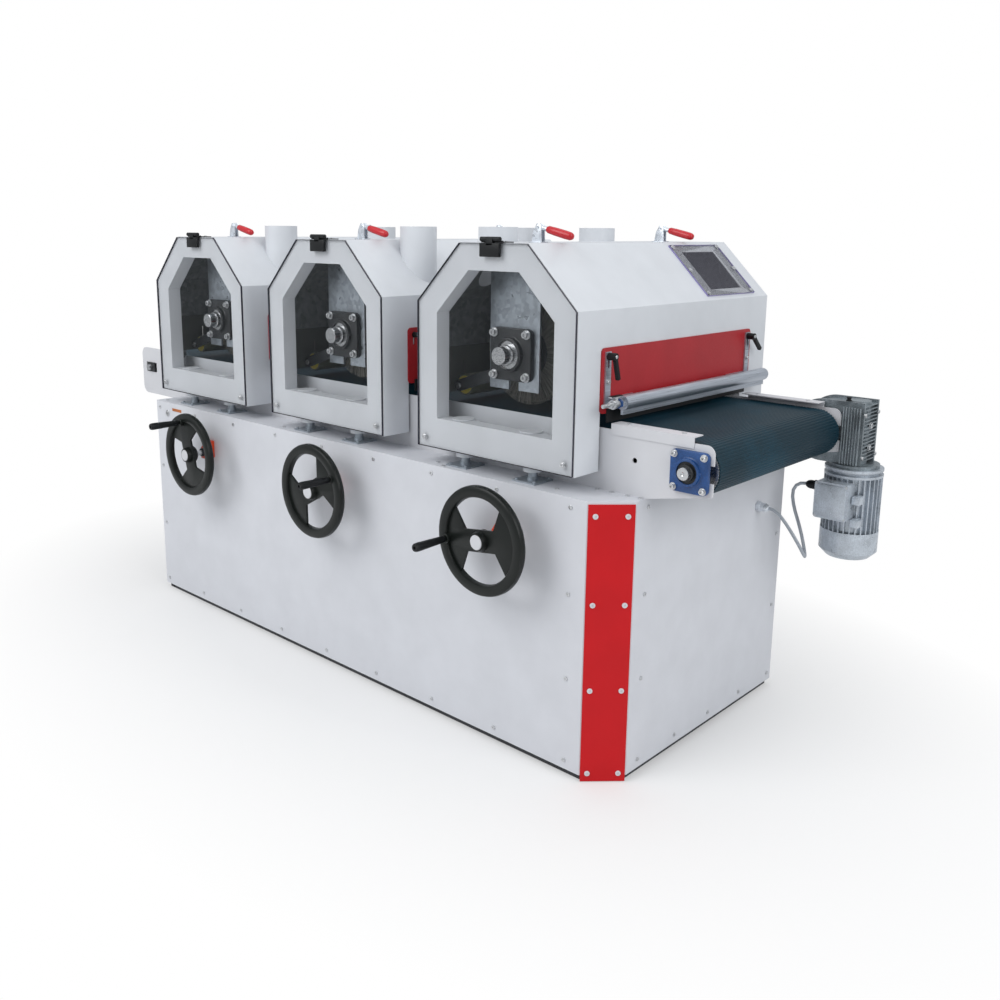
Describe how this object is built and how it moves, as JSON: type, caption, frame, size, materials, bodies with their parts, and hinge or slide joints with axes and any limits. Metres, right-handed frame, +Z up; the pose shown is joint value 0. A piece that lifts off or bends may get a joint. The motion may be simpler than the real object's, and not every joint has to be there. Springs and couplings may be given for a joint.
{
  "type": "panel sander",
  "caption": "Through-feed brush sander: hooded brush heads over a belt conveyor on a long closed cabinet, with handwheel height adjustment and a gear motor at the outfeed.",
  "frame": {"origin": "on the floor under the middle of the cabinet's rectangular footprint", "axes": "+X along the feed towards the gear motor, +Y away from the operator, +Z up"},
  "size_m": [3.129, 1.3528, 1.616],
  "materials": {
    "cabinet_paint": "smooth satin powder coat",
    "hood_paint": "smooth satin powder coat",
    "dark_steel": "matt",
    "red_paint": "satin",
    "blue_cast": "painted casting",
    "zinc_steel": "zinc plated",
    "bare_steel": "turned",
    "silver_cast": "cast and painted silver",
    "belt_rubber": "finely ribbed",
    "black_plastic": "moulded",
    "black_enamel": "gloss",
    "orange_plastic": "moulded",
    "red_plastic": "dipped",
    "clear_sheet": "clear acrylic",
    "bristle": "packed natural-coloured strands",
    "yellow_rubber": "ground",
    "cable_grey": "ribbed sheath",
    "brass_fitting": "turned"
  },
  "bodies": {
    "cabinet": {"plinth": "dark_steel", "front_panel": "cabinet_paint", "side_panels": "cabinet_paint", "top_deck": "cabinet_paint", "corner_plate": "red_paint", "side_plates": "hood_paint", "edge_guards": "hood_paint", "conveyor_bed": "zinc_steel", "belt": "belt_rubber", "roller_bearings": "blue_cast", "worm_gearbox": "silver_cast", "drive_motor": "silver_cast", "cable_glands": "black_plastic", "motor_cable": "cable_grey", "lift_guides": "zinc_steel", "indicators": "orange_plastic"},
    "drive_roller": {"drive_roller": "bare_steel"},
    "idler_roller": {"idler_roller": "bare_steel"},
    "motor_fan": {"motor_fan": "black_plastic"},
    "head_1": {"hood_1": "hood_paint", "brush_carrier_1": "zinc_steel", "roof_fittings_1": "dark_steel"},
    "window_1": {"window_1": "clear_sheet", "window_fittings_1": "black_plastic"},
    "brush_1": {"brush_1": "bristle"},
    "press_roller_1": {"press_roller_1": "yellow_rubber"},
    "guard_1": {"guard_plate_1": "red_paint"},
    "toggle_front_1": {"toggle_front_1": "red_plastic"},
    "toggle_rear_1": {"toggle_rear_1": "red_plastic"},
    "handwheel_1": {"handwheel_1": "black_enamel"},
    "wheel_grip_1": {"wheel_grip_1": "black_plastic"},
    "head_2": {"hood_2": "hood_paint", "brush_carrier_2": "zinc_steel", "roof_fittings_2": "dark_steel"},
    "window_2": {"window_2": "clear_sheet", "window_fittings_2": "black_plastic"},
    "brush_2": {"brush_2": "bristle"},
    "press_roller_2": {"press_roller_2": "yellow_rubber"},
    "guard_2": {"guard_plate_2": "red_paint"},
    "toggle_front_2": {"toggle_front_2": "red_plastic"},
    "toggle_rear_2": {"toggle_rear_2": "red_plastic"},
    "handwheel_2": {"handwheel_2": "black_enamel"},
    "wheel_grip_2": {"wheel_grip_2": "black_plastic"},
    "head_3": {"hood_3": "hood_paint", "brush_carrier_3": "zinc_steel", "roof_fittings_3": "dark_steel", "inspection_pane": "clear_sheet"},
    "window_3": {"window_3": "clear_sheet", "window_fittings_3": "black_plastic"},
    "brush_3": {"brush_3": "bristle"},
    "press_roller_3": {"press_roller_3": "yellow_rubber"},
    "guard_3": {"guard_plate_3": "red_paint", "blow_bar": "silver_cast", "air_valve": "brass_fitting"},
    "toggle_front_3": {"toggle_front_3": "red_plastic"},
    "toggle_rear_3": {"toggle_rear_3": "red_plastic"},
    "handwheel_3": {"handwheel_3": "black_enamel"},
    "wheel_grip_3": {"wheel_grip_3": "black_plastic"},
    "clamp_lever_front": {"clamp_lever_front": "black_plastic"},
    "clamp_lever_rear": {"clamp_lever_rear": "black_plastic"}
  },
  "joints": [
    {"name": "drive_turn", "type": "hinge", "parent": "cabinet", "child": "drive_roller", "pos_m": [1.362, 0.038, 0.962], "axis": [0, 1, 0], "continuous": true},
    {"name": "idler_turn", "type": "hinge", "parent": "cabinet", "child": "idler_roller", "pos_m": [-1.5, 0.038, 0.962], "axis": [0, 1, 0], "continuous": true},
    {"name": "fan_turn", "type": "hinge", "parent": "cabinet", "child": "motor_fan", "pos_m": [1.457, 0.508, 0.58], "axis": [0, 0, 1], "continuous": true},
    {"name": "handwheel_turn_1", "type": "hinge", "parent": "cabinet", "child": "handwheel_1", "pos_m": [-0.792, -0.605, 0.698], "axis": [0, 1, 0], "range_deg": [-720, 4320]},
    {"name": "grip_turn_1", "type": "hinge", "parent": "handwheel_1", "child": "wheel_grip_1", "pos_m": [-0.82893, -0.68, 0.82681], "axis": [0, 1, 0], "continuous": true},
    {"name": "head_lift_1", "type": "slide", "parent": "cabinet", "child": "head_1", "axis": [0, 0, 1], "range_m": [-0.0101, 0.0601]},
    {"name": "window_hinge_1", "type": "hinge", "parent": "head_1", "child": "window_1", "pos_m": [-0.864, -0.497, 1.57], "axis": [-1, 0, 0], "range_deg": [0, 110]},
    {"name": "brush_turn_1", "type": "hinge", "parent": "head_1", "child": "brush_1", "pos_m": [-0.881, 0.038, 1.223], "axis": [0, 1, 0], "continuous": true},
    {"name": "press_turn_1", "type": "hinge", "parent": "head_1", "child": "press_roller_1", "pos_m": [-1.126, 0.038, 1.097], "axis": [0, 1, 0], "continuous": true},
    {"name": "guard_slide_1", "type": "slide", "parent": "head_1", "child": "guard_1", "axis": [0, 0, 1], "range_m": [0, 0.03]},
    {"name": "toggle_front_turn_1", "type": "hinge", "parent": "head_1", "child": "toggle_front_1", "pos_m": [-0.813, -0.335, 1.606], "axis": [0, -1, 0], "range_deg": [0, 85]},
    {"name": "toggle_rear_turn_1", "type": "hinge", "parent": "head_1", "child": "toggle_rear_1", "pos_m": [-0.813, 0.38, 1.606], "axis": [0, -1, 0], "range_deg": [0, 85]},
    {"name": "handwheel_turn_2", "type": "hinge", "parent": "cabinet", "child": "handwheel_2", "pos_m": [0.012, -0.605, 0.698], "axis": [0, 1, 0], "range_deg": [-720, 4320]},
    {"name": "grip_turn_2", "type": "hinge", "parent": "handwheel_2", "child": "wheel_grip_2", "pos_m": [0.1292, -0.68, 0.76296], "axis": [0, 1, 0], "continuous": true},
    {"name": "head_lift_2", "type": "slide", "parent": "cabinet", "child": "head_2", "axis": [0, 0, 1], "range_m": [-0.0101, 0.0601]},
    {"name": "window_hinge_2", "type": "hinge", "parent": "head_2", "child": "window_2", "pos_m": [-0.06, -0.497, 1.57], "axis": [-1, 0, 0], "range_deg": [0, 110]},
    {"name": "brush_turn_2", "type": "hinge", "parent": "head_2", "child": "brush_2", "pos_m": [-0.077, 0.038, 1.223], "axis": [0, 1, 0], "continuous": true},
    {"name": "press_turn_2", "type": "hinge", "parent": "head_2", "child": "press_roller_2", "pos_m": [-0.322, 0.038, 1.097], "axis": [0, 1, 0], "continuous": true},
    {"name": "guard_slide_2", "type": "slide", "parent": "head_2", "child": "guard_2", "axis": [0, 0, 1], "range_m": [0, 0.03]},
    {"name": "toggle_front_turn_2", "type": "hinge", "parent": "head_2", "child": "toggle_front_2", "pos_m": [-0.009, -0.335, 1.606], "axis": [0, -1, 0], "range_deg": [0, 85]},
    {"name": "toggle_rear_turn_2", "type": "hinge", "parent": "head_2", "child": "toggle_rear_2", "pos_m": [-0.009, 0.38, 1.606], "axis": [0, -1, 0], "range_deg": [0, 85]},
    {"name": "handwheel_turn_3", "type": "hinge", "parent": "cabinet", "child": "handwheel_3", "pos_m": [0.816, -0.605, 0.698], "axis": [0, 1, 0], "range_deg": [-720, 4320]},
    {"name": "grip_turn_3", "type": "hinge", "parent": "handwheel_3", "child": "wheel_grip_3", "pos_m": [0.6833, -0.68, 0.67935], "axis": [0, 1, 0], "continuous": true},
    {"name": "head_lift_3", "type": "slide", "parent": "cabinet", "child": "head_3", "axis": [0, 0, 1], "range_m": [-0.0101, 0.0601]},
    {"name": "window_hinge_3", "type": "hinge", "parent": "head_3", "child": "window_3", "pos_m": [0.744, -0.497, 1.57], "axis": [-1, 0, 0], "range_deg": [0, 110]},
    {"name": "brush_turn_3", "type": "hinge", "parent": "head_3", "child": "brush_3", "pos_m": [0.727, 0.038, 1.223], "axis": [0, 1, 0], "continuous": true},
    {"name": "press_turn_3", "type": "hinge", "parent": "head_3", "child": "press_roller_3", "pos_m": [0.482, 0.038, 1.097], "axis": [0, 1, 0], "continuous": true},
    {"name": "guard_slide_3", "type": "slide", "parent": "head_3", "child": "guard_3", "axis": [0, 0, 1], "range_m": [0, 0.03]},
    {"name": "toggle_front_turn_3", "type": "hinge", "parent": "head_3", "child": "toggle_front_3", "pos_m": [0.795, -0.335, 1.606], "axis": [0, -1, 0], "range_deg": [0, 85]},
    {"name": "toggle_rear_turn_3", "type": "hinge", "parent": "head_3", "child": "toggle_rear_3", "pos_m": [0.795, 0.325, 1.606], "axis": [0, -1, 0], "range_deg": [0, 85]},
    {"name": "lever_front_turn", "type": "hinge", "parent": "head_3", "child": "clamp_lever_front", "pos_m": [1.0826, -0.348, 1.246], "axis": [1, 0, 0], "range_deg": [-60, 60]},
    {"name": "lever_rear_turn", "type": "hinge", "parent": "head_3", "child": "clamp_lever_rear", "pos_m": [1.0826, 0.464, 1.246], "axis": [1, 0, 0], "range_deg": [-60, 60]}
  ],
  "couplings": [
    {"joint": "idler_turn", "follows": "drive_turn", "ratio": 1},
    {"joint": "fan_turn", "follows": "drive_turn", "ratio": 25},
    {"joint": "head_lift_1", "follows": "handwheel_turn_1", "m_per_rad": 0.000796},
    {"joint": "head_lift_2", "follows": "handwheel_turn_2", "m_per_rad": 0.000796},
    {"joint": "head_lift_3", "follows": "handwheel_turn_3", "m_per_rad": 0.000796}
  ]
}
